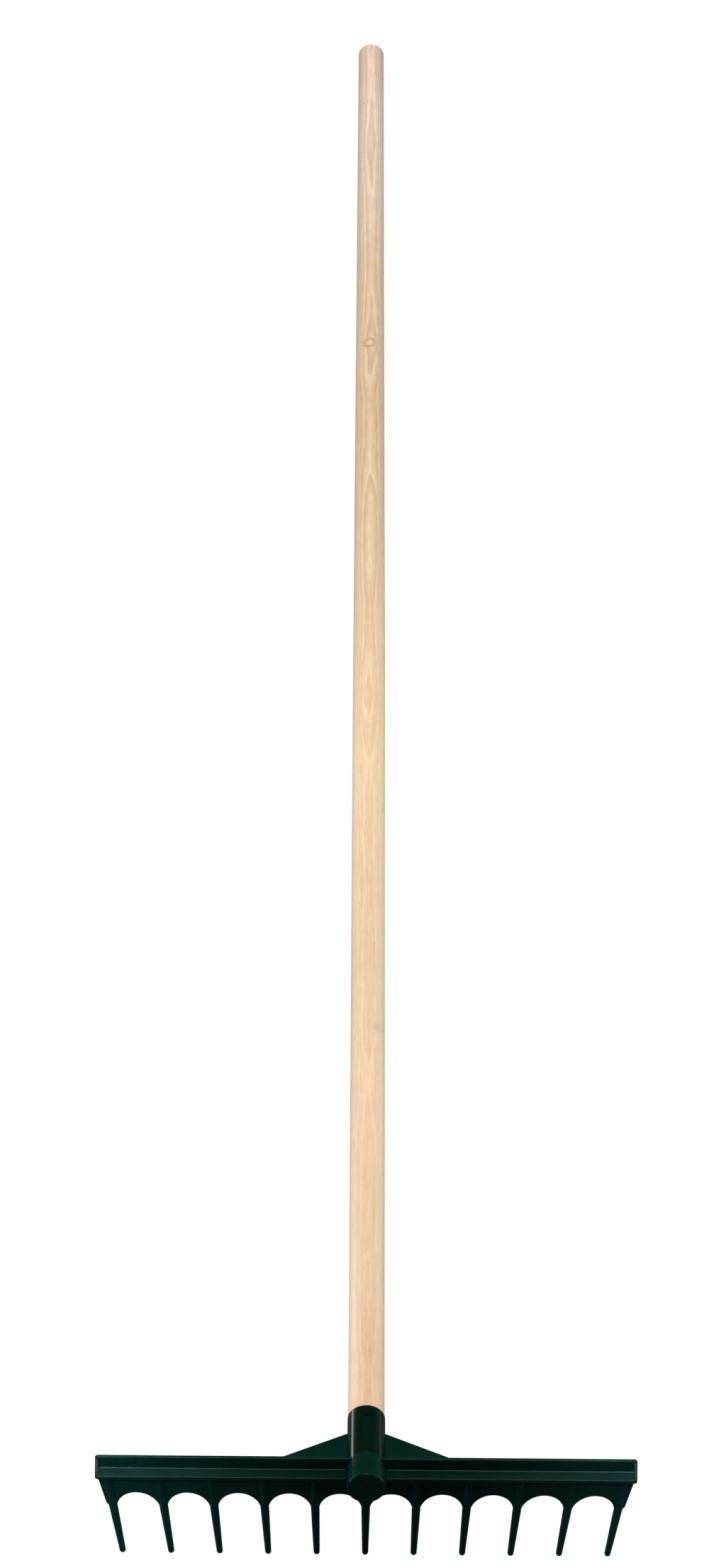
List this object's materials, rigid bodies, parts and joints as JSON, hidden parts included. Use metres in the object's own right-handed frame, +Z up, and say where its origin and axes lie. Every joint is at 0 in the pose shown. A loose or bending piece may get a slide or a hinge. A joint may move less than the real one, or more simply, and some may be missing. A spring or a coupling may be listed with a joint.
{
  "type": "bunker rake",
  "caption": "Long-handled bunker rake: a moulded head with a ledged comb of round tapered tines, gussets and a socket, on a plain turned wooden handle.",
  "frame": {"origin": "on the ground, under the middle of the rake's length and width, with the rake lying on its tine tips and the far end of its handle", "axes": "+Y from the head towards the handle's far end, +X across the comb, +Z up from the ground; the handle's own axis dips 2.26 degrees from +Y"},
  "size_m": [0.375, 1.8364, 0.097],
  "materials": {
    "moulded_green_plastic": "satin, very dark green, as moulded",
    "pale_wood": "pale straight-grained wood, sanded and unpainted"
  },
  "bodies": {
    "head": {"rake_head": "moulded_green_plastic"},
    "handle": {"handle": "pale_wood"}
  },
  "joints": [
    {"name": "handle_slide", "type": "slide", "parent": "head", "child": "handle", "axis": [0, 0.9992, -0.0395], "range_m": [0, 0.066]}
  ]
}
